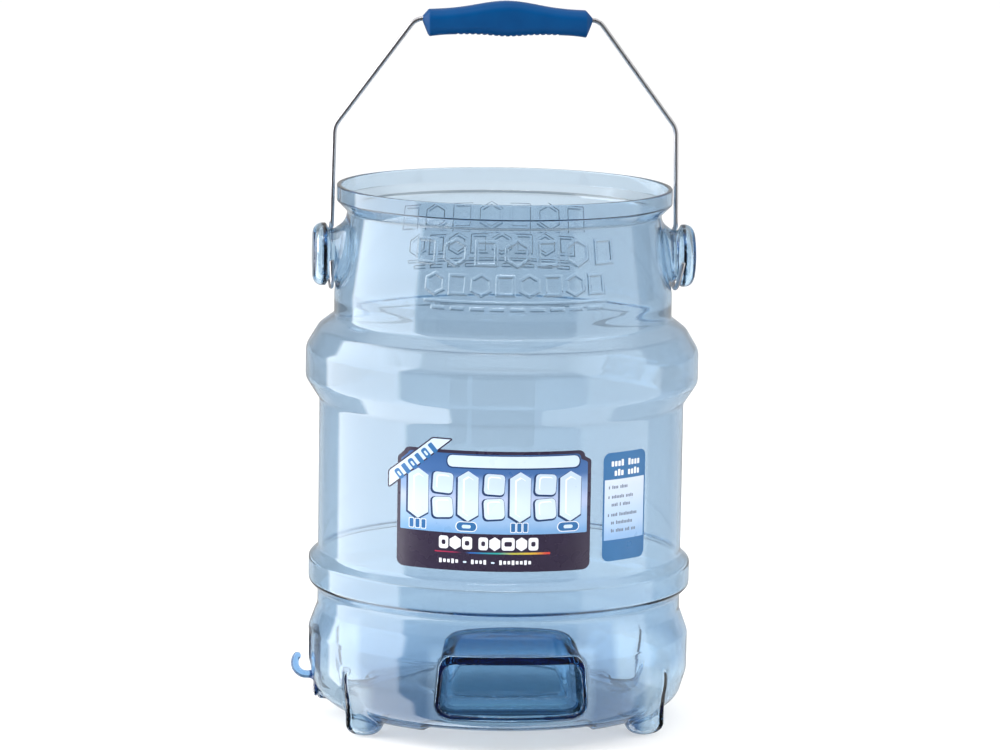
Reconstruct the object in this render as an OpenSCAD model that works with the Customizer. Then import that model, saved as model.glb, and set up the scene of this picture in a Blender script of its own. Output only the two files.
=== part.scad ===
// Clear polycarbonate ice tote: a short, open-topped bucket with a swinging steel bail,
// a turning plastic grip, hollow moulded ears, four hollow feet, a hand pocket low at
// the front and a hang hook on its left side.
// Units are mm. Z is up, the front (hand pocket and labels) faces -Y, the bail's ears
// lie on the X axis, and the four foot pads stand on z = 0 around the origin.

/* [Body] */
// Outer radius of the straight middle wall
wall_r = 125.5; // [124.5:0.5:126.5]
// Thickness of the moulded wall
wall_t = 2.4; // [2:0.2:2.8]
// Outer radius of the rim collar
rim_r = 115; // [114:0.5:115.5]
// Height of the rim's top edge above the foot pads
rim_z = 369; // [367:1:372]
// Outer radius of the big shoulder rib
rib_r = 135.1; // [134:0.5:136]
// Outer radius of the small lower rib
low_rib_r = 131.8; // [130:0.5:133]
// Outer radius of the base bulge
bulge_r = 131.4; // [131:0.5:132]

/* [Ears] */
// Height of the ears' common axis
ear_z = 321.3; // [319:0.5:323]
// Radius of the ear's groove, where the wire hangs
groove_r = 17.4; // [16.5:0.5:18.5]
// Radius of the ear's outer flange
flange_r = 21.5; // [20.5:0.5:22.5]
// Distance of the ear's outer face from the middle
ear_x = 131.2; // [130:0.2:132]

/* [Bail] */
// Diameter of the steel wire
wire_d = 3.2; // [2.8:0.2:3.2]
// Distance of each arm from the middle
arm_x = 118.4; // [118.2:0.1:118.6]
// Inner radius of the end loops, larger than the groove so that they hang loose
loop_r = 19.1; // [18.8:0.1:19.4]
// Height at which the arms bend inward
knee_z = 409; // [400:1:415]
// Height of the wire through the grip
grip_z = 483; // [478:1:486]

/* [Grip] */
// Length over the grip's pointed ends
grip_len = 115.6; // [112:0.4:116]
// Front-to-back thickness of the grip
grip_w = 20; // [17:0.5:22]
// Clearance between grip and wire, on the radius
grip_gap = 0.1; // [0.05:0.05:0.1]
// Number of small ridges along the grip's underside
ridges = 17; // [11:2:19]

/* [Base] */
// Height of the base ring above the pads
ring_z = 10; // [8:0.5:12]
// Radius of each foot
foot_r = 13; // [12:0.5:14]
// Distance of each foot's centre from the middle
foot_c = 115; // [113:0.5:116]
// Angle of the feet from the front and back
foot_a = 56; // [50:1:60]

/* [Relief] */
// Height of the raised outlines above the neck
relief_h = 0.8; // [0.5:0.1:1]
// Width of their lines
relief_w = 1.4; // [1.2:0.1:1.8]

/* [Hand pocket] */
// Height of the pocket's upper lip
pocket_top = 63.5; // [60:0.5:66]
// Height of the pocket's floor
pocket_floor = 24; // [22:0.5:26]
// Distance of the pocket's back wall from the middle
pocket_back = 86; // [80:1:92]
// Width of the opening at the upper lip
pocket_w = 92; // [80:1:100]

/* [Hook] */
// Thickness of the hook's rod
hook_d = 5.4; // [4.8:0.2:5.6]
// Radius of the hook's bend, to the middle of the rod
hook_bend = 8.3; // [7.8:0.1:8.8]
// Height of the middle of the bend
hook_z = 35.7; // [34:0.5:38]

/* [Labels] */
// Thickness of the printed labels
label_t = 0.4; // [0.3:0.1:0.6]

/* [View] */
// Which node to draw

/* [Hidden] */
$fn = 96;
big = 400;                       // larger than the whole part
wire_r = wire_d / 2;
loop_z = ear_z + groove_r - loop_r + 0.05;   // the loops hang on the top of the groove
loop_c = loop_r + wire_r;                    // loop radius to the middle of the wire
pad_r = 4;                                   // flat pad under each foot
pad_x = 125.4;                               // flat moulded face behind the hook plate
plate_t = 2;                                 // hook plate
rivet_z = [17.4, 49.5];
label_z = 165;                               // middle height of both labels

CLEAR_BLUE = [0.62, 0.80, 0.92, 0.5];
STEEL = [0.72, 0.72, 0.74];
GRIP_BLUE = [0.02, 0.35, 0.62];
HOOK_BLUE = [0.45, 0.66, 0.86];
LABEL_BLUE = [0.80, 0.90, 0.97];

// ---- paths: each point is [x, y, corner radius] --------------------------------------
function unit(v) = v / norm(v);
function corner(a, p, b, r, n = 5) =
    r == 0 ? [[p[0], p[1]]] :
    let (u = unit([a[0] - p[0], a[1] - p[1]]), v = unit([b[0] - p[0], b[1] - p[1]]),
         half = acos(max(-1, min(1, u * v))) / 2, d = r / tan(half),
         c = [p[0], p[1]] + unit(u + v) * (r / sin(half)),
         s = [p[0], p[1]] + u * d - c, e = [p[0], p[1]] + v * d - c,
         a0 = atan2(s[1], s[0]), turn = atan2(s[0] * e[1] - s[1] * e[0], s * e))
    [for (i = [0:n]) c + r * [cos(a0 + turn * i / n), sin(a0 + turn * i / n)]];
function smooth(p, n = 5) =
    let (k = len(p))
    [for (i = [0:k - 1]) each
        (i == 0 || i == k - 1) ? [[p[i][0], p[i][1]]]
                               : corner(p[i - 1], p[i], p[i + 1], p[i][2], n)];
// The same open path moved sideways by t, to its left
function beside(p, t) =
    let (k = len(p))
    [for (i = [0:k - 1])
        let (a = unit(p[min(i + 1, k - 1)] - p[min(i, k - 2)]),
             b = unit(p[max(i, 1)] - p[max(i - 1, 0)]),
             na = [-a[1], a[0]], nb = [-b[1], b[0]], m = unit(na + nb))
        p[i] + m * t / (m * na)];
// Closed loop of rounded corners
function ring(p, n = 5) =
    let (k = len(p))
    [for (i = [0:k - 1]) each corner(p[(i + k - 1) % k], p[i], p[(i + 1) % k], p[i][2], n)];

// ---- moulded shell --------------------------------------------------------------------
// Outer profile from the middle of the base, out and up to the rim: [radius, height]
OUTER = smooth([
    [0, 21, 0], [58, 21, 30], [98, ring_z, 14], [115, ring_z, 10], [126, 18.5, 16],
    [bulge_r, 36, 20], [bulge_r, 61.5, 10], [wall_r, 77.5, 7], [wall_r, 87.5, 5],
    [low_rib_r, 94.2, 3.5], [low_rib_r, 111.5, 3], [wall_r, 117, 5],
    [wall_r, 221.5, 6], [rib_r, 236.5, 8], [rib_r, 257.5, 12], [126.8, 271.3, 8],
    [116, 279.5, 4], [116, 296, 40], [107.6, 351.3, 3], [rim_r, 358.4, 2],
    [rim_r, rim_z, 0]]);
INNER = beside(OUTER, wall_t);

module lathe(path, top) {
    last = path[len(path) - 1];
    rotate_extrude() polygon(concat([[0, top], [0, path[0][1]]],
        [for (i = [1:len(path) - 2]) path[i]], [[last[0], top]]));
}

// One ear as a solid of revolution about X; g takes the wall off every side
module ear(g = 0) {
    prof = [[98, 0], [98, 36.5 - g], [arm_x - 2 + 0.45 * g, groove_r - g],
            [arm_x + 2.1 + g, groove_r - g], [arm_x + 3.6 + g, flange_r - 1.9 - g],
            [125.6, flange_r - g], [127.8, flange_r - 0.2 - g],
            [130 - g, flange_r - 2 - g], [ear_x - 0.2 - g, flange_r - 4.6 - g],
            [ear_x - g, flange_r - 8 - g], [ear_x - g, 0]];
    translate([0, 0, ear_z]) rotate([0, 90, 0]) rotate_extrude()
        polygon([for (p = prof) [max(p[1], 0), p[0]]]);
}
module ears(g = 0) {
    ear(g);
    mirror([1, 0, 0]) ear(g);
}

// One foot: a round column with a vertical crest that runs out to the bulge, rounded
// below all the way round to a small flat pad
module foot(g = 0) {
    crest = bulge_r - 0.1 - g - foot_c;
    r = foot_r - g;
    e = 9 - g;                               // edge rounding of the bottom
    translate([foot_c, 0, g]) intersection() {
        rotate_extrude() polygon(concat([[0, 0]],
            [for (i = [0:6]) [r - e + e * sin(i * 15), e - e * cos(i * 15)]],
            [[r + 8, e + 14], [r + 8, 46 - 2 * g], [0, 46 - 2 * g]]));
        linear_extrude(60) union() {
            circle(r = r);
            polygon([[crest, 0], [0, r - 0.5], [0, 0.5 - r]]);
        }
    }
}
module feet(g = 0) {
    for (a = [90 - foot_a, 90 + foot_a, -90 - foot_a, -90 + foot_a])
        rotate([0, 0, a]) foot(g);
}

// Raised outlines on the neck, front and back: a row of ice crystals and cubes, a second
// row of smaller ones, an underline and a row of short bars
module crystal(r) difference() {
    circle(r = r, $fn = 6);
    circle(r = r - relief_w * 1.2, $fn = 6);
}
module cube_face(w, h) difference() {
    square([w, h], center = true);
    square([w - 2 * relief_w, h - 2 * relief_w], center = true);
}
module on_neck(angle, z) {
    rotate([0, 0, angle]) translate([0, 0, z]) rotate([90, 0, 0])
        linear_extrude(big) children();
}
module relief() {
    slope = (116 - 107.6) / (351.3 - 296);
    intersection() {
        translate([0, 0, 296]) difference() {
            cylinder(r1 = 116 + relief_h, r2 = 116 + relief_h - slope * 52, h = 52);
            translate([0, 0, -1])
                cylinder(r1 = 115.4 + slope, r2 = 115.4 - slope * 53, h = 54);
        }
        for (side = [0, 180]) {
            for (i = [-3:3]) on_neck(side + i * 10.8, 336)
                if (i % 2 == 0) crystal(9.6); else cube_face(15, 17);
            for (i = [-3.5:3.5]) on_neck(side + i * 8.1, 315)
                if (abs(i % 2) == 0.5 && i * 2 % 4 != 1) cube_face(12.5, 14);
                else crystal(8);
            on_neck(side, 303.6) square([118, 1.6], center = true);
            for (i = [-3:3]) on_neck(side + i * 6, 299.5) square([9, 2.4], center = true);
        }
    }
}

// Hand pocket: its side view and its front view, crossed; g grows it by the wall
module pocket(g = 0) {
    side = ring([[-140, pocket_floor - g, 0], [-pocket_back + g, pocket_floor - g + 1, 6 + g],
        [-pocket_back + g, pocket_top + 14 + g, 6 + g], [-bulge_r + 1, pocket_top + g * 0.6, 0],
        [-140, pocket_top + g * 0.6, 0]]);
    w = pocket_w / 2 + g;
    face = ring([[-w - 5, pocket_floor - 1 - g, 9 + g], [w + 5, pocket_floor - 1 - g, 9 + g],
        [w, pocket_top + 17 + g, 12 + g], [-w, pocket_top + 17 + g, 12 + g]]);
    intersection() {
        translate([-100, 0, 0]) rotate([90, 0, 90]) linear_extrude(200) polygon(side);
        translate([0, 0, 0]) rotate([90, 0, 0]) linear_extrude(150) polygon(face);
    }
}
// The base ring is stepped up a little under the pocket
module step(g = 0) {
    w = 55 + g;
    translate([0, -92 + g, -1]) rotate([90, 0, 0])
        linear_extrude(60) polygon(ring([[-w, 0, 0], [w, 0, 0],
            [w - 3, 4.2 + ring_z + g, 3], [3 - w, 4.2 + ring_z + g, 3]]));
}

// Flat moulded pad that carries the hook plate
module pad_block() {
    translate([0, 13, 0]) rotate([90, 0, 0]) linear_extrude(26)
        polygon(ring([[-pad_x, 12.5, 5], [-104, 12.5, 0], [-104, 58, 0], [-pad_x, 58, 2]]));
}
module pad_cut(x, w) {
    translate([-x - 20, -w, 14]) cube([20, 2 * w, 44]);
}

module tote_shell() color(CLEAR_BLUE) difference() {
    union() {
        difference() {
            lathe(OUTER, rim_z);
            pad_cut(pad_x, 13);
        }
        pad_block();
        ears();
        feet();
        relief();
    }
    difference() {
        union() {
            lathe(INNER, rim_z + 5);
            ears(wall_t);
            feet(wall_t);
        }
        pad_cut(pad_x - wall_t, 15.4);
        pocket(wall_t);
        step(wall_t);
    }
    pocket();
    step();
    for (z = rivet_z) translate([-pad_x, 0, z]) rotate([0, 90, 0]) {
        cylinder(r = 1.6, h = 8);
        translate([0, 0, wall_t]) cylinder(r = 4, h = 6);
    }
}

// ---- bail ------------------------------------------------------------------------------
// Round bar from a to b
module bar(a, b, r) {
    d = b - a;
    translate(a) rotate([0, acos(d[2] / norm(d)), atan2(d[1], d[0])])
        cylinder(r = r, h = norm(d));
}
// Part of a bent bar in the plane of X and Z: centre, bend radius, first angle, turn. A
// bend is a hair thinner than the straight bar, and each of its ends laps into the next
// length.
thin = 0.03;
module bend(c, r, a0, turn, bar_r) {
    lap = sign(turn) * 0.25 / r * 180 / PI;
    translate(c) rotate([90, 0, 0]) rotate([0, 0, a0 - lap])
        rotate_extrude(angle = turn + 2 * lap) translate([r, 0]) circle(r = bar_r);
}

slant = atan2(arm_x - 62.5, grip_z - knee_z);   // lean of the upper arms from upright
knee_r = 14;
top_r = 11;
s_r = 4;                                        // small bend where arm meets loop
s_h = sqrt(pow(loop_c + s_r, 2) - pow(s_r, 2));

module half_bail() {
    knee_d = knee_r * tan(slant / 2);
    top_d = top_r * tan((90 - slant) / 2);
    run = [-sin(slant), 0, cos(slant)];
    knee = [arm_x, 0, knee_z];
    top = [62.5, 0, grip_z];
    bar([arm_x, 0, loop_z + s_h], knee - [0, 0, knee_d], wire_r);
    bend(knee + [-knee_r, 0, -knee_d], knee_r, 0, slant, wire_r - thin);
    bar(knee + run * knee_d, top - run * top_d, wire_r);
    bend(top + [-top_d, 0, -top_r], top_r, slant, 90 - slant, wire_r - thin);
    // end loop in the plane of Y and Z: over the back, under the ear and up in front
    lean = asin(s_r / (loop_c + s_r));
    translate([arm_x, 0, loop_z]) rotate([0, 0, 90]) {
        bend([0, 0, 0], loop_c, 90 - lean, lean - 270, wire_r - thin);
        bend([s_r, 0, s_h], s_r, 180, 90 - lean, wire_r - 2 * thin);
    }
}
module bail_wire() color(STEEL) {
    half_bail();
    mirror([1, 0, 0]) half_bail();
    top_d = top_r * tan((90 - slant) / 2);
    bar([top_d - 62.5, 0, grip_z], [62.5 - top_d, 0, grip_z], wire_r);
}

// Height of the grip's top and bottom edges above the wire, along its length
function crown(x) = 6.2 + 6.2 * exp(-pow(x / 29, 2));
function belly(x) = -10.2 - 1.3 * exp(-pow(x / 14, 2)) - 1.4 * pow(abs(x) / 52, 6);
module bail_grip() color(GRIP_BLUE) {
    h = grip_len / 2;
    n = 26;
    xs = [for (i = [0:n]) -52.6 + 105.2 * i / n];
    view_side = concat([[-h, 1.6]], [for (x = xs) [x, crown(x)]], [[h, 1.6], [h, -1.8]],
        [for (i = [n:-1:0]) [xs[i], belly(xs[i])]], [[-h, -1.8]]);
    view_end = ring([[-grip_w / 2, 13, 7], [grip_w / 2, 13, 7], [grip_w / 2, -14, 6],
                     [-grip_w / 2, -14, 6]]);
    view_top = [[-h, -4], [4.2 - h, -grip_w / 2], [h - 4.2, -grip_w / 2], [h, -4],
                [h, 4], [h - 4.2, grip_w / 2], [4.2 - h, grip_w / 2], [-h, 4]];
    translate([0, 0, grip_z]) difference() {
        intersection() {
            translate([0, 15, 0]) rotate([90, 0, 0]) linear_extrude(30) polygon(view_side);
            translate([-60, 0, 0]) rotate([90, 0, 90]) linear_extrude(120)
                polygon(view_end);
            translate([0, 0, -20]) linear_extrude(40) polygon(view_top);
        }
        translate([-60, 0, 0]) rotate([0, 90, 0]) cylinder(r = wire_r + grip_gap, h = 120);
        for (i = [0:ridges]) translate([(i - ridges / 2) * 4, 15, belly((i - ridges / 2) * 4)])
            rotate([90, 0, 0]) cylinder(r = 1, h = 30, $fn = 24);
    }
}

// ---- hook, rivets and labels -------------------------------------------------------------
plate_x = -pad_x - plate_t;                     // outer face of the hook plate
bend_x = plate_x - 5.1;                         // middle of the hook's bend
module hang_hook() color(HOOK_BLUE) {
    difference() {
        translate([-pad_x, 0, 0]) rotate([0, -90, 0]) linear_extrude(plate_t)
            polygon(ring([[14, -11, 3], [56, -11, 3], [56, 11, 3], [14, 11, 3]]));
        for (z = rivet_z) translate([plate_x - 1, 0, z]) rotate([0, 90, 0])
            cylinder(r = 1.6, h = plate_t + 2);
    }
    z0 = hook_z - hook_bend;
    bar([plate_x, 0, z0], [bend_x, 0, z0], hook_d / 2);
    bend([bend_x, 0, hook_z], hook_bend, 145, 125, hook_d / 2 - thin);
    translate([bend_x + hook_bend * cos(145), 0, hook_z + hook_bend * sin(145)])
        sphere(r = hook_d / 2 - 0.1);
    translate([plate_x, 0, z0]) rotate([0, -90, 0])
        cylinder(r1 = hook_d / 2 + 1.8, r2 = hook_d / 2, h = 2.4);
}
module hook_rivets() color(STEEL) for (z = rivet_z)
    translate([plate_x, 0, z]) rotate([0, 90, 0]) {
        translate([0, 0, -1.1]) cylinder(r1 = 1.6, r2 = 2.8, h = 1.1);
        cylinder(r = 1.6, h = plate_t + wall_t);
        translate([0, 0, plate_t + wall_t]) cylinder(r1 = 2.7, r2 = 2, h = 1.1);
    }

// A skin on the middle wall, turned to its angle from the front, cut to the flat outline
// given as its children
module skin(angle) {
    rotate([0, 0, angle]) intersection() {
        difference() {
            cylinder(r = wall_r + label_t, h = big, $fn = 180);
            translate([0, 0, -1]) cylinder(r = wall_r, h = big + 2, $fn = 180);
        }
        translate([0, 0, label_z]) rotate([90, 0, 0]) linear_extrude(big) children();
    }
}
module panel(w, h, r) polygon(ring([[-w / 2, -h / 2, r], [w / 2, -h / 2, r],
                                    [w / 2, h / 2, r], [-w / 2, h / 2, r]]));
// The main label has a slanting ribbon that runs past its upper left corner
module main_label() color(LABEL_BLUE) skin(-6.9) {
    panel(129.5, 81.5, 5);
    polygon(ring([[-71.4, 9.5, 2], [-42, 35, 2], [-25, 49.2, 2], [-41.5, 49.2, 4],
                  [-71.6, 23, 4]]));
}
module instruction_label() color(LABEL_BLUE) skin(37.3) panel(38.6, 74, 5);

tote_shell();
bail_wire();
bail_grip();
hang_hook();
hook_rivets();
main_label();
instruction_label();
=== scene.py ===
"""A clear blue ice tote: moulded polycarbonate shell, steel bail with a turning grip,
hang hook and two printed labels. Metres; Z up; the front faces -Y."""

import math

import bmesh
import bpy
import numpy as np
from mathutils import Matrix, Vector


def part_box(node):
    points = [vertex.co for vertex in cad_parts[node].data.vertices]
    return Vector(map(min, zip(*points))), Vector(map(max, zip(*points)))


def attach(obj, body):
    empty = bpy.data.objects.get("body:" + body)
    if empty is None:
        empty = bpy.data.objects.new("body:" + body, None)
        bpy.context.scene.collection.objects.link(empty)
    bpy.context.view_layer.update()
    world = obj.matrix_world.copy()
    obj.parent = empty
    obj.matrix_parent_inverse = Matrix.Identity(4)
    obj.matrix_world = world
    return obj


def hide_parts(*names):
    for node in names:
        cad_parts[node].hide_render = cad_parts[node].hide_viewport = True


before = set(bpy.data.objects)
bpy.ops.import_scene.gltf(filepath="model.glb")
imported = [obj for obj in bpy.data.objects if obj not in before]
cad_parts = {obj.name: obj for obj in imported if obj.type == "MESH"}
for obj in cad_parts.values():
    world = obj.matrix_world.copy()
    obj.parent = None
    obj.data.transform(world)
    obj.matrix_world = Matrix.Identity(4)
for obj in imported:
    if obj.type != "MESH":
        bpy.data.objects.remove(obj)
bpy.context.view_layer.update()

MM = 0.001

# ---- sizes ----
RIM_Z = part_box("tote_shell")[1].z
WALL_R = 125.5 * MM
WALL_T = 2.4 * MM
NECK_T = 3.2 * MM
POCKET_T = 4 * MM
RIM_R = 115 * MM
EAR_Z = 321.3 * MM
ARM_X = 118.4 * MM
WIRE_R = 1.6 * MM
LOOP_Z = 319.65 * MM
LOOP_R = 20.7 * MM
KNEE_Z = 409 * MM
GRIP_Z = 483 * MM
PAD_X = 125.4 * MM
PLATE_T = 2 * MM
LABEL_Z = 165 * MM


# ---- camera ----
def add_camera():
    """The camera stands 3.2 m in front, a little to the left, looking slightly down."""
    yaw, pitch, roll = -4.8, 8.82, 0.917
    data = bpy.data.cameras.new("camera")
    data.lens = 168.93
    data.sensor_width = 36
    camera = bpy.data.objects.new("camera", data)
    bpy.context.scene.collection.objects.link(camera)
    turn = (Matrix.Rotation(math.radians(yaw), 4, "Z")
            @ Matrix.Rotation(math.radians(90 - pitch), 4, "X")
            @ Matrix.Rotation(math.radians(roll), 4, "Z"))
    camera.matrix_world = Matrix.Translation((-0.2686, -3.1840, 0.7335)) @ turn
    bpy.context.scene.camera = camera


add_camera()


# ---- node helpers ----
def new_material(name):
    material = bpy.data.materials.new(name)
    material.use_nodes = True
    tree = material.node_tree
    shader = tree.nodes["Principled BSDF"]
    return material, tree, shader


def add_node(tree, kind, **settings):
    node = tree.nodes.new(kind)
    for key, value in settings.items():
        if key in node.inputs:
            node.inputs[key].default_value = value
        else:
            setattr(node, key, value)
    return node


def noise(tree, scale, detail=2.0, stretch=(1, 1, 1), roughness=0.5):
    """Noise in object space, stretched along the axes; returns its value socket."""
    where = add_node(tree, "ShaderNodeTexCoord")
    mapping = add_node(tree, "ShaderNodeMapping", Scale=stretch)
    texture = add_node(tree, "ShaderNodeTexNoise", Scale=scale, Detail=detail,
                       Roughness=roughness)
    tree.links.new(where.outputs["Object"], mapping.inputs["Vector"])
    tree.links.new(mapping.outputs["Vector"], texture.inputs["Vector"])
    return texture.outputs["Fac"]


def map_range(tree, value, source, target=(0, 1)):
    """Maps a value from one range onto another, clamped."""
    node = add_node(tree, "ShaderNodeMapRange")
    for name, number in zip(("From Min", "From Max", "To Min", "To Max"), (*source, *target)):
        node.inputs[name].default_value = number
    tree.links.new(value, node.inputs["Value"])
    return node.outputs["Result"]


def spread(tree, value, low, high):
    """Maps the middle of a noise onto low to high."""
    return map_range(tree, value, (0.3, 0.7), (low, high))


def mix_colours(tree, value, low, high):
    """Mixes two colours, each a tuple or a socket."""
    node = add_node(tree, "ShaderNodeMix", data_type="RGBA")
    for socket, colour in ((node.inputs[6], low), (node.inputs[7], high)):
        if isinstance(colour, tuple):
            socket.default_value = (*colour, 1)
        else:
            tree.links.new(colour, socket)
    tree.links.new(value, node.inputs[0])
    return node.outputs[2]


def paint(tree, shader, colour, roughness):
    """Feeds the shader's colour and roughness."""
    tree.links.new(colour, shader.inputs["Base Color"])
    tree.links.new(roughness, shader.inputs["Roughness"])


def bump(tree, shader, height, strength, distance):
    node = add_node(tree, "ShaderNodeBump", Strength=strength, Distance=distance)
    tree.links.new(height, node.inputs["Height"])
    tree.links.new(node.outputs["Normal"], shader.inputs["Normal"])


def ramp(tree, value, stops):
    """Colours along a value: stops are (position, colour)."""
    node = add_node(tree, "ShaderNodeValToRGB")
    node.color_ramp.interpolation = "EASE"
    while len(node.color_ramp.elements) < len(stops):
        node.color_ramp.elements.new(0.5)
    for element, (position, colour) in zip(node.color_ramp.elements, stops):
        element.position = position
        element.color = (*colour, 1)
    tree.links.new(value, node.inputs["Fac"])
    return node.outputs["Color"]


def along(tree, axis, low, high):
    """0 to 1 between two places on an axis of the frame."""
    where = add_node(tree, "ShaderNodeTexCoord")
    split = add_node(tree, "ShaderNodeSeparateXYZ")
    tree.links.new(where.outputs["Object"], split.inputs["Vector"])
    return map_range(tree, split.outputs[axis], (low, high))


def both_of(tree, a, b, operation="MULTIPLY"):
    node = add_node(tree, "ShaderNodeMath", operation=operation)
    tree.links.new(a, node.inputs[0])
    tree.links.new(b, node.inputs[1])
    return node.outputs[0]


def region(tree, *slopes):
    """1 inside a soft-edged region: each slope is (axis, where it is 0, where it is 1) in
    millimetres."""
    out = None
    for axis, low, high in slopes:
        slope = along(tree, axis, low * MM, high * MM)
        out = slope if out is None else both_of(tree, out, slope)
    return out


# ---- materials ----
def clear_plastic(name, ior, density, colour):
    """Transmitting plastic with a tint through its thickness."""
    material, tree, shader = new_material(name)
    shader.inputs["Transmission Weight"].default_value = 1
    shader.inputs["IOR"].default_value = ior
    volume = add_node(tree, "ShaderNodeVolumeAbsorption", Density=density, Color=(*colour, 1))
    tree.links.new(volume.outputs["Volume"], tree.nodes["Material Output"].inputs["Volume"])
    return material, tree, shader


def clear_blue():
    """Blue-tinted polycarbonate with the faint flow waves of a blow-moulded wall. The tint is
    darker towards the foot. Painted shade and light lie in bands up the hand pocket, and painted
    light makes the ears, the feet's flanks and the pocket's lip pale."""
    material, tree, shader = clear_plastic("clear_blue_polycarbonate", 1.585, 70,
                                           (0.15, 0.5, 0.72))
    # the hand pocket's region, where painted shade and light are laid in bands
    pocket = region(tree, ("Y", -112, -100), ("Y", -72, -80), ("Z", 88, 82), ("X", -47, -39),
                    ("X", 47, 39))
    lip = region(tree, ("Z", 14, 20), ("Z", 74, 66), ("Y", -110, -116), ("X", -58, -53),
                 ("X", 58, 53))
    # painted light: the pocket's lip, the ears and the feet's flanks are painted pale
    pale = lip
    for side in (-1, 1):
        ear = region(tree, ("X", 114 * side, 119 * side), ("Z", 284, 292))
        flank = region(tree, ("X", 90 * side, 96 * side), ("Z", 52, 40))
        pale = both_of(tree, both_of(tree, ear, flank, "MAXIMUM"), pale, "MAXIMUM")
    tint = ramp(tree, along(tree, "Z", 0, 130 * MM), [
        (0, (0.37, 0.505, 0.67)), (0.2, (0.44, 0.57, 0.715)), (0.45, (0.56, 0.67, 0.775)),
        (0.72, (0.625, 0.72, 0.80)), (0.95, (0.65, 0.73, 0.805))])
    # painted shade and light: alternately dark and light bands up the hand pocket
    pocket_painted_bands = ramp(tree, along(tree, "Z", 20 * MM, 85 * MM), [
        (0, (0.56, 0.78, 0.90)), (0.25, (0.26, 0.49, 0.68)), (0.5, (0.46, 0.68, 0.83)),
        (0.75, (0.15, 0.53, 0.77))])
    # lays the painted shade and light bands over the tint inside the pocket
    tint = mix_colours(tree, pocket, tint, pocket_painted_bands)
    # mixes the painted light in as a pale blue-white
    tint = mix_colours(tree, pale, tint, (0.82, 0.89, 0.945))
    paint(tree, shader, tint, spread(tree, noise(tree, 60), 0.01, 0.03))
    bump(tree, shader, noise(tree, 22, 1.0, (1, 1, 0.35)), 0.1, 1.0 * MM)
    return material


def steel():
    material, tree, shader = new_material("drawn_steel")
    grain = noise(tree, 900, 3.0, (1, 1, 0.08))
    paint(tree, shader, mix_colours(tree, grain, (0.50, 0.49, 0.51), (0.62, 0.61, 0.63)),
          spread(tree, grain, 0.26, 0.34))
    shader.inputs["Metallic"].default_value = 1
    bump(tree, shader, grain, 0.04, 0.02 * MM)
    return material


def grip_plastic():
    material, tree, shader = new_material("grip_blue_plastic")
    cloud = noise(tree, 70, 3.0)
    paint(tree, shader, mix_colours(tree, cloud, (0, 0.042, 0.15), (0, 0.06, 0.2)),
          spread(tree, noise(tree, 160), 0.34, 0.46))
    shader.inputs["Specular IOR Level"].default_value = 0.14
    bump(tree, shader, noise(tree, 1800, 2.0), 0.1, 0.05 * MM)
    return material


def hook_plastic():
    material, tree, shader = clear_plastic("hook_blue_plastic", 1.5, 260, (0.04, 0.42, 0.74))
    shader.inputs["Base Color"].default_value = (0.85, 0.94, 1, 1)
    tree.links.new(spread(tree, noise(tree, 200), 0.04, 0.1), shader.inputs["Roughness"])
    bump(tree, shader, noise(tree, 120, 2.0), 0.1, 0.3 * MM)
    return material


def film_surface(tree, shader, colour, gloss):
    """The satin surface that every ink on the label film shares."""
    paint(tree, shader, colour, spread(tree, noise(tree, 90), gloss - 0.05, gloss + 0.05))
    bump(tree, shader, noise(tree, 900, 2.0), 0.05, 0.05 * MM)


def ink(name, low, high, gloss=0.32):
    """Printed ink with a slight mottle."""
    material, tree, shader = new_material(name)
    film_surface(tree, shader, mix_colours(tree, noise(tree, 120, 4.0), low, high), gloss)
    return material


def blended_ink(name, axis, low, high, stops):
    """Printed ink whose colour runs along an axis of the frame."""
    material, tree, shader = new_material(name)
    grain = spread(tree, noise(tree, 140, 4.0), -0.015, 0.015)
    place = both_of(tree, along(tree, axis, low, high), grain, "ADD")
    film_surface(tree, shader, ramp(tree, place, stops), 0.32)
    return material


# ---- smooth outlines and their distances ----
def fillet(a, p, b, r):
    """The arc that rounds the corner p between a and b: its centre, the way from there to
    its two ends, and its sweep."""
    u = (a - p) / np.linalg.norm(a - p)
    v = (b - p) / np.linalg.norm(b - p)
    half = math.acos(np.clip(u @ v, -1, 1)) / 2
    centre = p + (u + v) / np.linalg.norm(u + v) * r / math.sin(half)
    reach = r / math.tan(half)
    return centre, p + u * reach - centre, p + v * reach - centre, math.pi - 2 * half


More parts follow.
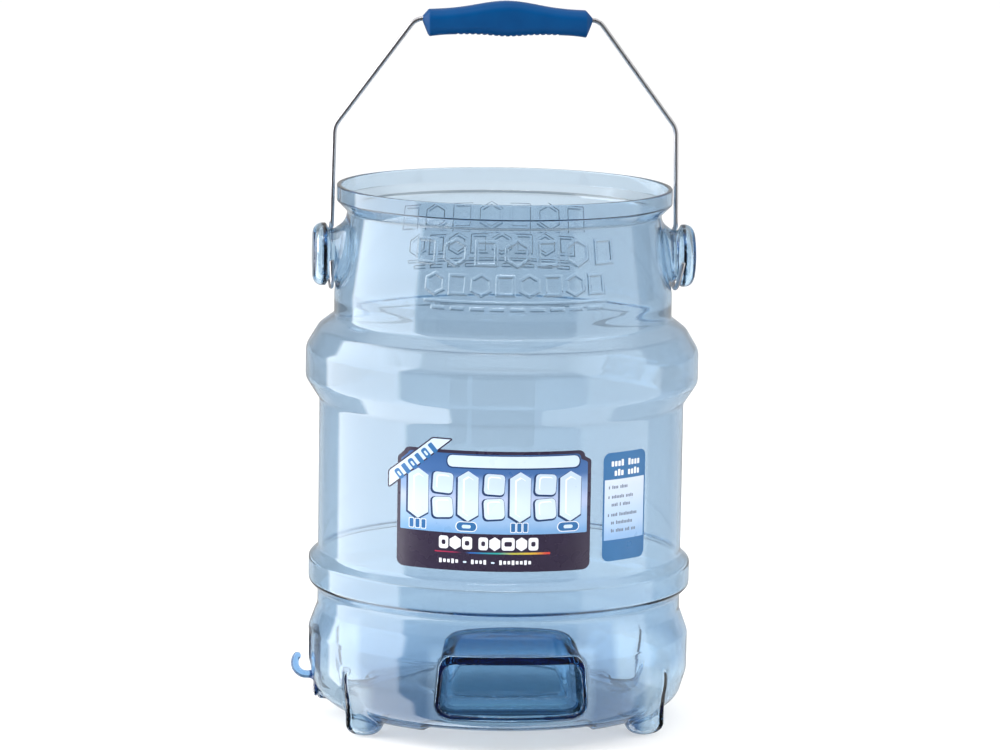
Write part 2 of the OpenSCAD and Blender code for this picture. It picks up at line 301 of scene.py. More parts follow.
class Outline:
    """An open path of straight runs joined by arcs. Each point is (x, y, corner radius).
    distance() is negative on the path's left."""

    def __init__(self, points):
        pts = [np.array(p[:2], float) for p in points]
        self.runs = []
        self.arcs = []
        start = pts[0]
        for i in range(1, len(pts) - 1):
            p, r = pts[i], points[i][2]
            if r == 0:
                self.runs.append((start, p))
                start = p
                continue
            middle, first, last, _ = fillet(pts[i - 1], p, pts[i + 1], r)
            begin, end = middle + first, middle + last
            left = first[0] * last[1] - first[1] * last[0] > 0
            self.runs.append((start, begin))
            self.arcs.append((middle, r, begin, end, 1 if left else -1))
            start = end
        self.runs.append((start, pts[-1]))

    def distance(self, x, y):
        best = np.full(np.broadcast(x, y).shape, 1e9)
        for a, b in self.runs:
            d = b - a
            length = math.hypot(*d)
            if length < 1e-9:
                continue
            d = d / length
            qx, qy = x - a[0], y - a[1]
            along = np.clip(qx * d[0] + qy * d[1], 0, length)
            away = np.hypot(qx - along * d[0], qy - along * d[1])
            sided = np.where(d[0] * qy - d[1] * qx > 0, -away, away)
            best = np.where(away < np.abs(best), sided, best)
        for c, r, begin, end, turn in self.arcs:
            qx, qy = x - c[0], y - c[1]
            bx, by = begin - c
            ex, ey = end - c
            inside = ((bx * qy - by * qx) * turn > 0) & ((qx * ey - qy * ex) * turn > 0)
            sided = turn * (np.hypot(qx, qy) - r)
            closer = inside & (np.abs(sided) < np.abs(best))
            best = np.where(closer, sided, best)
        return best


def smooth_min(a, b, k):
    h = np.maximum(k - np.abs(a - b), 0) / k
    return np.minimum(a, b) - h * h * k / 4


def smooth_max(a, b, k):
    return -smooth_min(-a, -b, k)


def millimetres(points):
    return [tuple(value * MM for value in p) for p in points]


# Outer profile from the middle of the base, out and up past the rim
PROFILE = Outline(millimetres([
    (0, 21, 0), (58, 21, 30), (98, 10, 14), (115, 10, 10), (126, 18.5, 16),
    (131.4, 36, 20), (131.4, 61.5, 10), (125.5, 77.5, 7), (125.5, 89, 5),
    (131.8, 95.7, 3.5), (131.8, 111.5, 3), (125.5, 117, 5), (125.5, 221.5, 6),
    (135.1, 236.5, 8), (135.1, 257.5, 12), (126.8, 271.3, 8), (116, 279.5, 4),
    (116, 296, 40), (107.6, 351.3, 3), (107.6, 400, 0)]))
# Ear, in distance along X and radius round the ears' axis, from the stem to the face
EAR = Outline(millimetres([
    (90, 35, 0), (117.0, 17.4, 3), (120.2, 17.4, 1.6), (122.4, 21.5, 1.4),
    (131.2, 21.5, 6.5), (131.2, -60, 0)]))
# Hand pocket from the side (Y, Z) and from the front (X, Z)
POCKET_SIDE = Outline(millimetres([
    (-170, 24, 0), (-86, 25, 6), (-86, 79, 6), (-130.4, 61, 0), (-170, 61, 0)]))
POCKET_FACE = Outline(millimetres([
    (0, 23, 0), (51, 23, 9), (46, 80.5, 12), (0, 80.5, 0)]))
# Boxes in millimetres, as low corner, high corner and edge radius: the flat cut behind the
# hang hook, the pad that closes it, and the step under the front edge of the base
HOOK_CUT = (-200, -13, 13), (-125.4, 13, 58), 0.5
HOOK_PAD = (-125.4, -13, 12.5), (-104, 13, 58), 3
BASE_STEP = (-55, -170, -30), (55, -92, 13.2), 3


def box_distance(x, y, z, low, high, edge):
    """Distance to a box with rounded edges, given in millimetres."""
    edge = edge * MM
    q = [np.maximum(lo * MM + edge - v, v - hi * MM + edge)
         for v, lo, hi in zip((x, y, z), low, high)]
    out = np.sqrt(sum(np.maximum(v, 0) ** 2 for v in q))
    return out + np.minimum(np.maximum(np.maximum(q[0], q[1]), q[2]), 0) - edge


def ear_distance(x, y, z):
    return -EAR.distance(np.abs(x), np.hypot(y, z - EAR_Z))


def foot_distance(x, y, z):
    """Four domed feet, each with a crest that runs out to the bulge."""
    angle, reach, r, edge = math.radians(34), 115 * MM, 13 * MM, 9 * MM
    px = np.abs(x) * math.cos(angle) + np.abs(y) * math.sin(angle) - reach
    py = np.abs(-np.abs(x) * math.sin(angle) + np.abs(y) * math.cos(angle))
    round_part = np.hypot(px, py) - r
    tip, half = 16.2 * MM, 12.5 * MM
    slope = math.atan2(half, tip)
    nose = np.maximum((px - tip) * math.sin(slope) + py * math.cos(slope), -px)
    column = smooth_min(round_part, nose, 2 * MM)
    q0, q1 = column + edge, edge - z
    dome = np.hypot(np.maximum(q0, 0), np.maximum(q1, 0)) - edge
    dome = dome + np.minimum(np.maximum(q0, q1), 0)
    return smooth_max(dome, z - 44 * MM, 3 * MM)


def pocket_distance(x, y, z):
    """The recess narrows from its opening to its back, under an arched roof."""
    draft = 0.19 * np.clip(y + 131 * MM, 0, 45 * MM)
    arch = 5 * MM * (x / (50 * MM)) ** 2 * np.clip(z / (25 * MM) - 1.2, 0, 1)
    side = POCKET_SIDE.distance(y, z + arch)
    face = POCKET_FACE.distance(np.abs(x) + draft, z)
    return smooth_max(side, face, 8 * MM)


def body_distance(x, y, z, lathe=None):
    """Signed distance to the outside of the tote taken as a solid, open at the top."""
    if lathe is None:
        lathe = PROFILE.distance(np.hypot(x, y), z)
    d = np.array(np.broadcast_to(lathe, np.broadcast(x, y, z).shape), float)
    x, y, z = np.broadcast_arrays(x, y, z)
    at = (z < 66 * MM) & (x < -100 * MM) & (np.abs(y) < 25 * MM)
    if at.any():
        p = x[at], y[at], z[at]
        cut, pad = box_distance(*p, *HOOK_CUT), box_distance(*p, *HOOK_PAD)
        d[at] = smooth_min(smooth_max(d[at], -cut, 1.5 * MM), pad, 2 * MM)
    at = (np.abs(z - EAR_Z) < 40 * MM) & (np.abs(x) > 90 * MM)
    if at.any():
        d[at] = smooth_min(d[at], ear_distance(x[at], y[at], z[at]), 4 * MM)
    at = (z < 60 * MM) & (np.abs(np.hypot(x, y) - 115 * MM) < 32 * MM)
    if at.any():
        d[at] = smooth_min(d[at], foot_distance(x[at], y[at], z[at]), 5 * MM)
    at = (z < 100 * MM) & (y < -60 * MM)
    if at.any():
        p = x[at], y[at], z[at]
        stepped = smooth_max(d[at], -box_distance(*p, *BASE_STEP), 4 * MM)
        d[at] = smooth_max(stepped, -pocket_distance(*p), 3 * MM)
    return d


def hollow_distance(x, y, z, lathe=None):
    """Signed distance to the inside space: the wall is thicker at the neck and at the back
    of the hand pocket."""
    d = body_distance(x, y, z, lathe)
    x, y, z = np.broadcast_arrays(x, y, z)
    rise = np.clip((z - 279 * MM) / (14 * MM), 0, 1)
    d = d + WALL_T + (NECK_T - WALL_T) * rise * rise * (3 - 2 * rise)
    at = (z < 100 * MM) & (y < -60 * MM)
    if at.any():
        extra = (POCKET_T - WALL_T) * np.clip((y[at] + 122 * MM) / (20 * MM), 0, 1)
        wall = WALL_T + extra - pocket_distance(x[at], y[at], z[at])
        d[at] = np.maximum(d[at], wall)
    return d


# ---- relief on the neck ----
RELIEF_LOW, RELIEF_HIGH, RELIEF_HALF = 296 * MM, 347.5 * MM, math.radians(39)
RELIEF_H, RELIEF_W = 0.55 * MM, 2.0 * MM


def hexagon(x, y, r):
    a = np.abs(x)
    return np.maximum(a * 0.5 + np.abs(y) * 0.866, a) - r * 0.866


def rectangle(x, y, w, h):
    return np.maximum(np.abs(x) - w / 2, np.abs(y) - h / 2)


def relief_height(x, y, z):
    """Raised outlines, front and back: ice crystals and cubes in two rows, an underline
    and a row of short bars."""
    angle = np.arctan2(x, np.abs(y))
    best = np.full(np.shape(x), 1.0)
    ground = 111 * MM

    def outlined(d):
        return np.abs(d + RELIEF_W / 2) - RELIEF_W / 2

    for i in range(-3, 4):
        u, v = (angle - math.radians(10.8 * i)) * ground, z - 336 * MM
        shape = hexagon(u, v, 9.6 * MM) if i % 2 == 0 else rectangle(u, v, 15 * MM, 17 * MM)
        best = np.minimum(best, outlined(shape))
    for i in range(8):
        u, v = (angle - math.radians(8.1 * (i - 3.5))) * ground, z - 315 * MM
        shape = rectangle(u, v, 12.5 * MM, 14 * MM) if i % 2 else hexagon(u, v, 8 * MM)
        best = np.minimum(best, outlined(shape))
    u = angle * ground
    best = np.minimum(best, rectangle(u, z - 303.6 * MM, 124 * MM, 1.6 * MM))
    for i in range(-4, 5):
        best = np.minimum(best, rectangle(u - 13 * MM * i, z - 299.3 * MM, 9 * MM, 2.2 * MM))
    rise = np.clip(0.5 - best / (1.1 * MM), 0, 1)
    return RELIEF_H * rise * rise * (3 - 2 * rise)


# ---- skin: a closed surface drawn round a distance field ----
TURNS = 600


def lines(*stretches):
    """Grid lines: each stretch is (from, to, spacing) in millimetres."""
    out = []
    for low, high, step in stretches:
        count = max(1, round((high - low) / step))
        out += [low + (high - low) * i / count for i in range(count)]
    out.append(stretches[-1][1])
    return np.array(out) * MM


GRID_R = lines((4, 82.65, 6.5), (82.65, 137.85, 1.3))
GRID_Z = lines((-2, 26, 1.3), (26, 60, 1.7), (60, 92, 1.45), (92, 120, 1.6), (120, 217, 9.7),
               (217, 281, 1.6), (281, 297, 2), (297, 344, 1.3), (344, 350, 1.5))


def nets(value, wrap):
    """Surface nets over a grid of values, negative inside. Returns the places of the points
    in grid units, the quads, and each cell's point number. wrap joins the first axis's ends."""
    cells = tuple(n if wrap and axis == 0 else n - 1 for axis, n in enumerate(value.shape))
    total = np.zeros((math.prod(cells), 3))
    count = np.zeros(math.prod(cells))
    found = []
    for axis in range(3):
        round_axis = wrap and axis == 0
        a = value if round_axis else np.take(value, range(value.shape[axis] - 1), axis)
        b = (np.roll(value, -1, 0) if round_axis
             else np.take(value, range(1, value.shape[axis]), axis))
        where = np.argwhere((a < 0) != (b < 0))
        va, vb = a[tuple(where.T)], b[tuple(where.T)]
        others = [k for k in range(3) if k != axis]
        corner, good = [], np.ones(len(where), bool)
        for s0, s1 in ((0, 0), (1, 0), (1, 1), (0, 1)):
            cell = where.copy()
            cell[:, others[0]] -= s0
            cell[:, others[1]] -= s1
            local = np.zeros((len(where), 3))
            local[:, axis] = va / (va - vb)
            local[:, others[0]] = s0
            local[:, others[1]] = s1
            if wrap:
                cell[:, 0] %= cells[0]
            ok = ((cell >= 0) & (cell < cells)).all(1)
            flat = (cell[:, 0] * cells[1] + cell[:, 1]) * cells[2] + cell[:, 2]
            np.add.at(total, flat[ok], local[ok])
            np.add.at(count, flat[ok], 1)
            good &= ok
            corner.append(flat)
        found.append(np.stack(corner, 1)[good])
    used = np.flatnonzero(count)
    number = np.full(len(count), -1)
    number[used] = np.arange(len(used))
    place = np.stack(np.unravel_index(used, cells), 1) + total[used] / count[used, None]
    return place, number[np.concatenate(found)], number.reshape(cells)


def skin(field):
    """Points and quads of a distance field's zero surface, with its top and hub rings."""
    around = np.arange(TURNS + 1) * 2 * math.pi / TURNS
    lathe = PROFILE.distance(GRID_R[:, None], GRID_Z[None, :])
    value = np.stack([field((GRID_R * math.cos(a))[:, None], (GRID_R * math.sin(a))[:, None],
                            GRID_Z[None, :], lathe) for a in around[:-1]])
    place, quads, number = nets(value, True)
    t = np.interp(place[:, 0], np.arange(TURNS + 1), around)
    r = np.interp(place[:, 1], np.arange(len(GRID_R)), GRID_R)
    z = np.interp(place[:, 2], np.arange(len(GRID_Z)), GRID_Z)
    verts = np.stack([r * np.cos(t), r * np.sin(t), z], 1)
    top, hub = number[:, :, -1], number[:, 0, :]
    return verts, quads, top[top >= 0], hub[hub >= 0]


def slopes(field, p, value=None):
    """Gradient of a field by small steps."""
    step = 0.02 * MM
    out = np.empty_like(p)
    for axis in range(3):
        q = p.copy()
        q[:, axis] += step
        if value is None:
            back = p.copy()
            back[:, axis] -= step
            out[:, axis] = (field(back) - field(q)) / (-2 * step)
        else:
            out[:, axis] = (field(q) - value) / step
    return out


def settle(field, p, rounds=2):
    """Moves points onto the field's zero surface and returns them with unit normals."""
    for _ in range(rounds):
        value = field(p)
        g = slopes(field, p, value)
        p = p - g * (value / np.maximum((g * g).sum(1), 0.2))[:, None]
    g = slopes(field, p)
    return p, g / np.linalg.norm(g, axis=1)[:, None]


def facing(verts, normals, faces, sign):
    """Quads turned so that they face along sign times the normals."""
    p = verts[faces]
    n = np.cross(p[:, 2] - p[:, 0], p[:, 3] - p[:, 1])
    along = (n * normals[faces].sum(1)).sum(1) * sign
    faces = faces.copy()
    faces[along < 0] = faces[along < 0][:, ::-1]
    return faces


def refine_relief(verts, quads):
    """Splits the quads of the neck's relief areas three by three."""
    bm = bmesh.new()
    bm_verts = [bm.verts.new(v) for v in verts]
    for q in quads:
        bm.faces.new([bm_verts[i] for i in q])
    bm.edges.ensure_lookup_table()

    def chosen(v):
        return (RELIEF_LOW < v.co.z < RELIEF_HIGH
                and abs(math.atan2(v.co.x, abs(v.co.y))) < RELIEF_HALF)

    picked = {v for v in bm.verts if chosen(v)}
    edges = [e for e in bm.edges if e.verts[0] in picked and e.verts[1] in picked]
    bmesh.ops.subdivide_edges(bm, edges=edges, cuts=2, use_grid_fill=True)
    bm.verts.index_update()
    out = np.array([v.co[:] for v in bm.verts])
    faces = [[v.index for v in f.verts] for f in bm.faces]
    bm.free()
    return out, faces


def make_object(name, verts, faces, materials, normals=None):
    mesh = bpy.data.meshes.new(name)
    mesh.from_pydata([tuple(v) for v in verts], [], [tuple(f) for f in faces])
    mesh.validate()
    for polygon in mesh.polygons:
        polygon.use_smooth = True
    if normals is not None:
        mesh.normals_split_custom_set_from_vertices([tuple(n) for n in normals])
    for material in materials:
        mesh.materials.append(material)
    obj = bpy.data.objects.new(name, mesh)
    bpy.context.scene.collection.objects.link(obj)
    return obj


def rim_rings(neck):
    """The collar above the neck, from outside, over the rim and down inside: each ring is
    (radius, height, normal outwards, normal upwards)."""
    rings = []

    def arc(cx, cz, r, first, last, side=1):
        for i in range(7):
            a = math.radians(first + (last - first) * i / 6)
            rings.append((cx + r * math.cos(a), cz + r * math.sin(a),
                          side * math.cos(a), side * math.sin(a)))

    cove, corner, lip, slant = 2.5 * MM, 2 * MM, 0.9 * MM, math.sqrt(0.5)
    corner_x = RIM_R - corner
    corner_z = RIM_Z - 10.6 * MM + corner * (math.sqrt(2) - 1)
    run = corner_x + corner * slant - neck - cove * (1 - slant)
    cove_x = neck + cove
    cove_z = corner_z - corner * slant - run - cove * slant
    arc(cove_x, cove_z, cove, 180, 135, -1)
    arc(corner_x, corner_z, corner, -45, 0)
    arc(RIM_R - lip, RIM_Z - lip, lip, 0, 90)
    arc(RIM_R - NECK_T + lip, RIM_Z - lip, lip, 90, 180)
    inside = 0.4 * MM
    arc(RIM_R - NECK_T - inside, corner_z, inside, 0, -45, -1)
    arc(cove_x, cove_z, cove + NECK_T, 135, 180)
    return rings


def tote_shell(material):
    """Outer and inner skins of the moulding, joined over the rim."""

    def outside(p):
        d = body_distance(*p.T)
        at = (p[:, 2] > RELIEF_LOW) & (p[:, 2] < RELIEF_HIGH) & (np.abs(p[:, 1]) > 50 * MM)
        d[at] -= relief_height(*p[at].T)
        return d

    def cavity(p):
        return hollow_distance(*p.T)

    verts, quads, top, hub = skin(body_distance)
    inner, inner_quads, inner_top, inner_hub = skin(hollow_distance)
    assert len(top) == len(inner_top) == len(hub) == len(inner_hub) == TURNS
    quads = facing(*settle(outside, verts, 1), quads, 1)
    verts, faces = refine_relief(verts, quads)
    verts, normals = settle(outside, verts)
    inner, inner_normals = settle(cavity, inner)
    inner_quads = facing(inner, inner_normals, inner_quads, -1)
    faces = list(faces) + (inner_quads + len(verts)).tolist()
    inner_top, inner_hub = inner_top + len(verts), inner_hub + len(verts)
    points, directions = [verts, inner], [normals, -inner_normals]
    total = len(verts) + len(inner)
    angle = np.arctan2(verts[top, 1], verts[top, 0])
    cosine, sine = np.cos(angle), np.sin(angle)
    neck = np.hypot(verts[top, 0], verts[top, 1]).mean()
    ring = top
    for r, z, outwards, upwards in rim_rings(neck):
        points.append(np.stack([r * cosine, r * sine, np.full(TURNS, z)], 1))
        directions.append(np.stack([outwards * cosine, outwards * sine,
                                    np.full(TURNS, upwards)], 1))
        following = np.arange(total, total + TURNS)
        total += TURNS
        faces += np.stack([ring, np.roll(ring, -1), np.roll(following, -1), following],
                          1).tolist()
        ring = following
    faces += np.stack([ring, np.roll(ring, -1), np.roll(inner_top, -1), inner_top],
                      1).tolist()
    for edge, direction in ((hub, -1), (inner_hub, 1)):
        height = np.concatenate(points)[edge, 2].mean()
        points.append(np.array([[0, 0, height]]))
        directions.append(np.array([[0, 0, direction]]))
        fan = np.stack([np.full(TURNS, total), np.roll(edge, -1), edge], 1)
        faces += fan[:, ::-direction].tolist()
        total += 1
    shell = make_object("shell", np.concatenate(points), faces, [material],
                        np.concatenate(directions))
    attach(shell, "tote")
    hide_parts("tote_shell")


# ---- round bars ----
def bent(points, step=6):
    """A path through corner points (x, y, z, bend radius), with the bends as arcs."""
    corners = [np.array(p[:3], float) for p in points]
    path = [corners[0]]
    for i in range(1, len(corners) - 1):
        centre, first, last, sweep = fillet(*corners[i - 1:i + 2], points[i][3])
        count = max(2, math.ceil(math.degrees(sweep) / step))
        for k in range(count + 1):
            s = k / count
            path.append(centre + (math.sin((1 - s) * sweep) * first
                                  + math.sin(s * sweep) * last) / math.sin(sweep))
    path.append(corners[-1])
    return path


def round_bar(path, r, sides=24):
    """Points and faces of a round bar along a path, its cut ends slightly chamfered."""
    path = np.array(path)
    ahead = np.gradient(path, axis=0)
    ahead[0], ahead[-1] = path[1] - path[0], path[-1] - path[-2]
    ahead /= np.linalg.norm(ahead, axis=1)[:, None]
    across = np.cross(ahead[0], (0, 1, 0.01))
    chamfer = 0.25 * MM
    rings, spin = [], np.arange(sides) * 2 * math.pi / sides
    ends = {0: ((0, r - chamfer), (chamfer, r)),
            len(path) - 1: ((-chamfer, r), (0, r - chamfer))}
    for i, (p, t) in enumerate(zip(path, ahead)):
        across = across - t * (across @ t)
        across /= np.linalg.norm(across)
        up = np.cross(t, across)
        circle = np.cos(spin)[:, None] * across + np.sin(spin)[:, None] * up
        rings += [p + t * step + radius * circle for step, radius in ends.get(i, ((0, r),))]
    return closed_loft(rings)


def closed_loft(rings):
    """Points and faces of a loft through rings of equal count, with both ends capped."""
    n = len(rings[0])
    faces = []
    for i in range(len(rings) - 1):
        for k in range(n):
            m = (k + 1) % n
            faces.append((i * n + k, i * n + m, (i + 1) * n + m, (i + 1) * n + k))
    faces.append(tuple(reversed(range(n))))
    faces.append(tuple(range((len(rings) - 1) * n, len(rings) * n)))
    return np.concatenate(rings), faces


def bail_wire(material):
    """One length of drawn wire: an end loop in each ear's groove, leaning arms, slanted
    shoulders and a straight top inside the grip."""
    lean = 1.2 * MM

    def loop(side, splay):
        """From the arm over the back of the ear, underneath and up the front, where the
        cut end stands off the groove."""
        path = []
        bend, reach = 4 * MM, 24.37 * MM
        for i in range(1, 9):
            a = math.radians(180 + 80.68 * i / 8)
            path.append((side * ARM_X, bend + bend * math.cos(a),
                         LOOP_Z + reach + bend * math.sin(a)))
        for i in range(1, 53):
            a = math.radians(9.32 + (270 - 9.32) * i / 52)
            out = splay * max(0, (i - 34) / 18) ** 2
            r = LOOP_R + 1.3 * out
            path.append((side * (ARM_X + out), r * math.sin(a), LOOP_Z + r * math.cos(a)))
        return path

    foot_z, top_x = LOOP_Z + 24.37 * MM, 62.5 * MM
    arms = bent([(-ARM_X, 0, foot_z), (-ARM_X + lean, 0, KNEE_Z, 14 * MM),
                 (-top_x, 0, GRIP_Z, 11 * MM), (top_x, 0, GRIP_Z, 11 * MM),
                 (ARM_X - lean, 0, KNEE_Z, 14 * MM), (ARM_X, 0, foot_z)])
    path = loop(-1, 0.8 * MM)[::-1] + arms + loop(1, 2.8 * MM)
    verts, faces = round_bar(path, WIRE_R)
    wire = make_object("wire", verts, faces, [material])
    soften(wire, 50)
    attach(wire, "bail")
    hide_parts("bail_wire")


def soften(obj, angle):
    """Smooth shading, broken at edges sharper than the angle."""
    bpy.context.view_layer.objects.active = obj
    obj.data.set_sharp_from_angle(angle=math.radians(angle))


def bail_grip(material):
    """Bowed top, bellied underside with finger grooves, and tapered ends round the wire."""
    tip, taper, bore = 57.8, 4.2, 1.7
    grooves = [4 * (i - 8.5) for i in range(18)]

    def section(x):
        t = (tip - abs(x)) / taper
        t = float(smooth_min(np.array(t), np.array(1.0), 0.16))
        crown = 6.2 + 6.2 * math.exp(-(x / 29) ** 2)
        belly = -10.2 - 1.3 * math.exp(-(x / 14) ** 2) - 1.4 * (abs(x) / 52) ** 6
        high = 1.6 + (crown - 1.6) * t
        low = -1.8 + (belly + 1.8) * t
        half = 4 + 6 * t
        top_r = min(1.5 + 5.5 * t, (high - low) * 0.52)
        low_r = min(1.5 + 4.5 * t, (high - low) * 0.42)
        ring = []
        for cy, cz, r, first in ((half - top_r, high - top_r, top_r, 0),
                                 (top_r - half, high - top_r, top_r, 90),
                                 (low_r - half, low + low_r, low_r, 180),
                                 (half - low_r, low + low_r, low_r, 270)):
            for i in range(13):
                a = math.radians(first + 90 * i / 12)
                ring.append((cy + r * math.cos(a), cz + r * math.sin(a)))
        near = min(abs(x - g) for g in grooves)
        cut = 0.85 * max(0, 1 - (near / 1.05) ** 2)
        return [(y, max(z, belly + cut) if cut > 0 else z) for y, z in ring]

    stations = np.concatenate([np.linspace(-tip, -51, 35), np.linspace(-50.6, 50.6, 340),
                               np.linspace(51, tip, 35)])
    rings = [np.array([(x, y, z) for y, z in section(x)]) for x in stations]
    count = len(rings[0])
    spin = np.arctan2(rings[0][:, 2], rings[0][:, 1])
    hole = np.stack([np.zeros(count), bore * np.cos(spin), bore * np.sin(spin)], 1)
    for x, at in ((-tip, 0), (tip, len(rings))):
        rings.insert(at if at else 0, hole + (x, 0, 0))
    faces = []
    total = len(rings)
    for i in range(total):
        j = (i + 1) % total
        for k in range(count):
            m = (k + 1) % count
            faces.append((i * count + k, i * count + m, j * count + m, j * count + k))
    verts = np.concatenate(rings) * MM + (0, 0, GRIP_Z)
    grip = make_object("grip", verts, faces, [material])
    soften(grip, 40)
    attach(grip, "grip")
    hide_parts("bail_grip")


# ---- hang hook ----
def hook_distance(x, y, z):
    """A flat plate with a round hook that flares into it."""
    middle_z, half_y, half_z, corner = 35 * MM, 11 * MM, 21 * MM, 3 * MM
    face, back = -PAD_X - PLATE_T, -PAD_X - 0.05 * MM
    qy = np.abs(y) - half_y + corner
    qz = np.abs(z - middle_z) - half_z + corner
    plan = (np.hypot(np.maximum(qy, 0), np.maximum(qz, 0))
            + np.minimum(np.maximum(qy, qz), 0) - corner)
    thick = np.abs(x - (face + back) / 2) - (back - face) / 2
    plate = smooth_max(plan, thick, 0.9 * MM)
    rod, bend_x, bend_z, bend = 2.7 * MM, -132.45 * MM, 35.7 * MM, 8.3 * MM
    first, last = math.radians(145), math.radians(270)
    qx, qz = x - bend_x, z - bend_z
    angle = np.arctan2(qz, qx) % (2 * math.pi)
    arc = np.abs(np.hypot(qx, qz) - bend)
    tip = np.hypot(qx - bend * math.cos(first), qz - bend * math.sin(first))
    arc = np.where((angle > first) & (angle < last), arc, 1)
    straight = np.hypot(np.maximum(np.maximum(-qx, x - face), 0), qz + bend)
    centre = np.minimum(np.minimum(arc, tip), straight)
    return smooth_min(plate, np.hypot(centre, y) - rod, 4 * MM)


def hang_hook(material):
    axes = lines((-144.5, -124.5, 0.5)), lines((-12, 12, 0.5)), lines((12.8, 57.2, 0.5))
    value = hook_distance(*np.meshgrid(*axes, indexing="ij"))
    place, quads, _ = nets(value, False)
    verts = np.stack([np.interp(place[:, k], np.arange(len(axes[k])), axes[k])
                      for k in range(3)], 1)
    verts, normals = settle(lambda p: hook_distance(*p.T), verts)
    hook = make_object("hook", verts, facing(verts, normals, quads, 1), [material], normals)
    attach(hook, "tote")
    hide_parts("hang_hook")


def hook_rivets(material):
    """Two blind rivets: a domed head with the drawn stem's dimple, and a short shank."""
    shape = [(0.85, -1.6), (1.55, -1.6), (1.6, -1.5), (1.6, 0), (2.6, 0), (2.8, 0.12),
             (2.75, 0.35), (2.45, 0.65), (1.95, 0.92), (1.35, 1.08), (1.0, 1.1), (0.85, 1.0),
             (0.8, 0.6), (0.3, 0.6)]
    face, spin = -PAD_X - PLATE_T, np.arange(32) * math.pi / 16
    verts, faces = [], []
    for centre_z in (17.4 * MM, 49.5 * MM):
        rings = [np.stack([np.full(len(spin), face - h * MM), r * MM * np.cos(spin),
                           centre_z + r * MM * np.sin(spin)], 1) for r, h in shape]
        more, quads = closed_loft(rings)
        start = sum(len(v) for v in verts)
        faces += [tuple(i + start for i in f) for f in quads]
        verts.append(more)
    rivets = make_object("rivets", np.concatenate(verts), faces, [material])
    soften(rivets, 50)
    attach(rivets, "tote")
    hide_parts("hook_rivets")


# ---- labels ----
def rounded(points, steps=5):
    """A closed outline from corners (x, y, corner radius)."""
    out = []
    for i, (px, py, r) in enumerate(points):
        if r == 0:
            out.append((px, py))
            continue
        around = (points[i - 1][:2], (px, py), points[(i + 1) % len(points)][:2])
        centre, first, last, _ = fillet(*(np.array(p, float) for p in around), r)
        begin = math.atan2(first[1], first[0])
        turn = (math.atan2(last[1], last[0]) - begin + math.pi) % (2 * math.pi) - math.pi
        for k in range(steps + 1):
            a = begin + turn * k / steps
            out.append((centre[0] + r * math.cos(a), centre[1] + r * math.sin(a)))
    return out


def bar(x, y, w, h, r=0.4, turn=0):
    """A rounded bar about its centre, turned in degrees."""
    w, h = w / 2, h / 2
    out = rounded([(-w, -h, r), (w, -h, r), (w, h, r), (-w, h, r)], 3)
    c, s = math.cos(math.radians(turn)), math.sin(math.radians(turn))
    return [(x + u * c - v * s, y + u * s + v * c) for u, v in out]


def crystal(x, y, w, h, r=0.6):
    """An upright six-sided ice crystal about its centre."""
    peak = w * 0.32
    return rounded([(x, y - h / 2, r), (x + w / 2, y - h / 2 + peak, r),
                    (x + w / 2, y + h / 2 - peak, r), (x, y + h / 2, r),
                    (x - w / 2, y + h / 2 - peak, r), (x - w / 2, y - h / 2 + peak, r)], 3)


def grown(points, d):
    """Corners moved outwards by d (anticlockwise order, corner radius kept in step)."""
    out = []
    for i, (px, py, r) in enumerate(points):
        ax, ay = points[i - 1][:2]
        bx, by = points[(i + 1) % len(points)][:2]
        u, v = np.array((px - ax, py - ay)), np.array((bx - px, by - py))
        n = np.array((u[1], -u[0])) / np.hypot(*u)
        m = np.array((v[1], -v[0])) / np.hypot(*v)
        move = (n + m) / (1 + n @ m) * d
        out.append((px + move[0], py + move[1], max(r + d, 0)))
    return out


class Label:
    """Layers of film and ink wrapped round the wall at a heading; the shapes are in flat
    millimetres, across and up from the label's centre."""

    def __init__(self, heading, materials):
        self.heading = math.radians(heading)
        self.materials = materials
        self.verts, self.faces, self.slots = [], [], []

    def stamp(self, outline, ink_number, low, high):
        """A flat shape from one height above the wall to another."""
        flat = bmesh.new()
        flat.faces.new([flat.verts.new((u, v, 0)) for u, v in outline])
        bmesh.ops.triangulate(flat, faces=flat.faces[:])
        reach = [v.co.x for v in flat.verts]
        cut = math.ceil(min(reach) / 2.5) * 2.5
        while cut < max(reach):
            bmesh.ops.bisect_plane(flat, geom=flat.verts[:] + flat.edges[:] + flat.faces[:],
                                   plane_co=(cut, 0, 0), plane_no=(1, 0, 0), dist=1e-5)
            cut += 2.5
        raised = bmesh.ops.extrude_face_region(flat, geom=flat.faces[:])["geom"]
        for item in raised:
            if isinstance(item, bmesh.types.BMVert):
                item.co.z = 1
        bmesh.ops.recalc_face_normals(flat, faces=flat.faces[:])
        flat.verts.index_update()
        start = len(self.verts)
        for v in flat.verts:
            r = WALL_R + (high if v.co.z > 0.5 else low) * MM
            a = self.heading + math.asin(v.co.x * MM / WALL_R)
            self.verts.append((r * math.sin(a), -r * math.cos(a), LABEL_Z + v.co.y * MM))
        for f in flat.faces:
            self.faces.append(tuple(start + v.index for v in f.verts))
            self.slots.append(ink_number)
        flat.free()

    def finish(self, name, node):
        obj = make_object(name, self.verts, self.faces, self.materials)
        for polygon, slot in zip(obj.data.polygons, self.slots):
            polygon.material_index = slot
        soften(obj, 30)
        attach(obj, "tote")
        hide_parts(node)


NAVY = ((0.012, 0.035, 0.11), (0.016, 0.045, 0.135))
BLUE = ((0.022, 0.125, 0.32), (0.03, 0.15, 0.37))
PALE = ((0.53, 0.66, 0.82), (0.60, 0.72, 0.86))
WHITE = ((0.74, 0.77, 0.84), (0.82, 0.85, 0.90))


